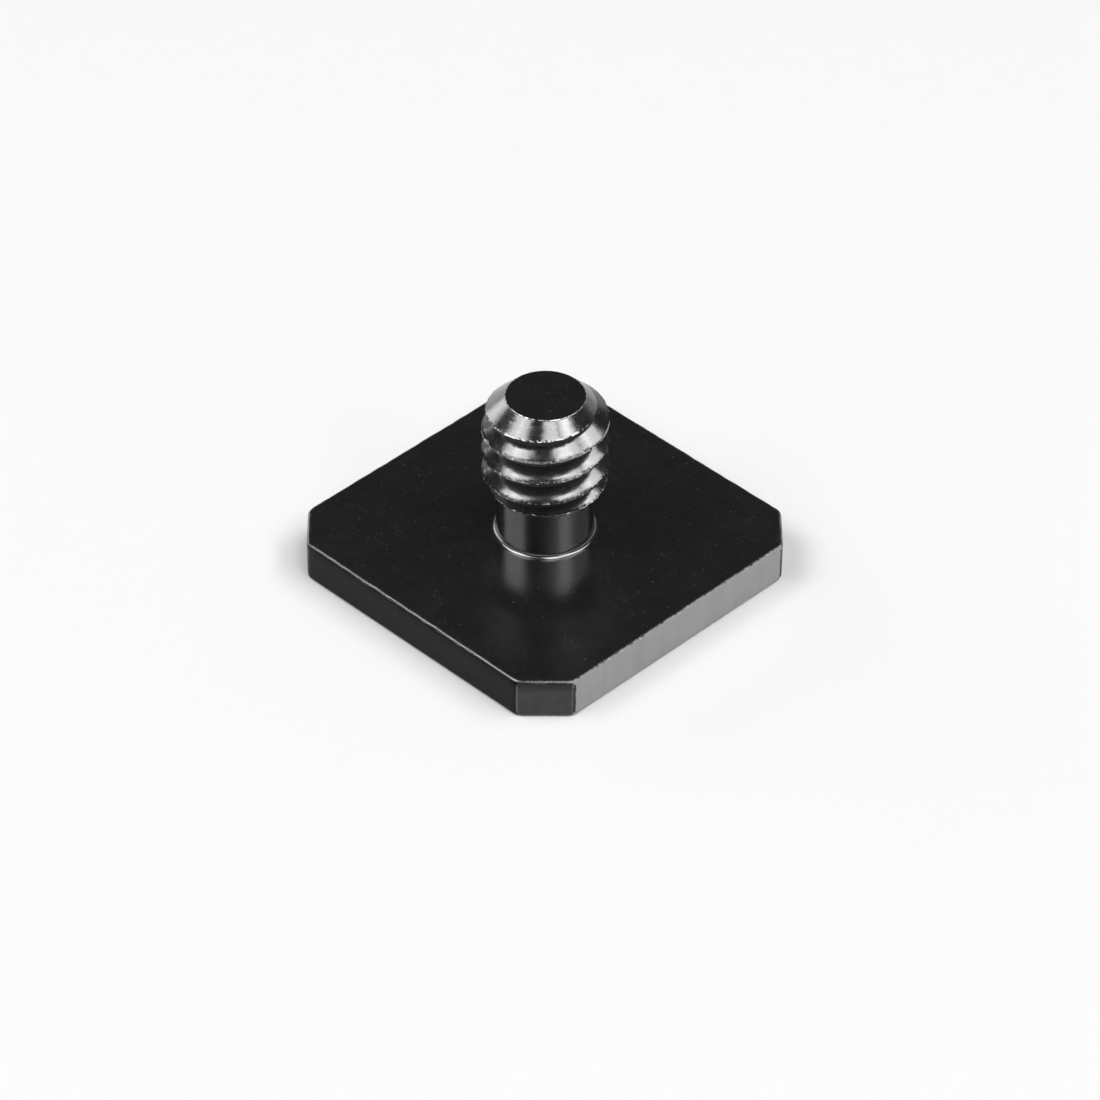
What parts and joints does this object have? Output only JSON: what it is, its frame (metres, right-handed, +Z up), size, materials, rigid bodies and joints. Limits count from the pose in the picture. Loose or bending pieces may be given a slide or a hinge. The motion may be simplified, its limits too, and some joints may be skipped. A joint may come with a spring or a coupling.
{
  "type": "flash shoe adapter",
  "caption": "Square shoe foot plate with cut corners and a threaded stud on its middle, which lets a camera shoe carry anything with a matching threaded socket.",
  "frame": {"origin": "middle of the plate's underside, under the stud", "axes": "+Z up along the stud, +Y the way the plate slides into a shoe, +X across the rails of the shoe"},
  "size_m": [0.0186, 0.0186, 0.0104],
  "materials": {
    "black_anodised": "black anodised, glossy, with worn edges"
  },
  "bodies": {
    "root": {"adapter_body": "black_anodised"}
  },
  "joints": []
}
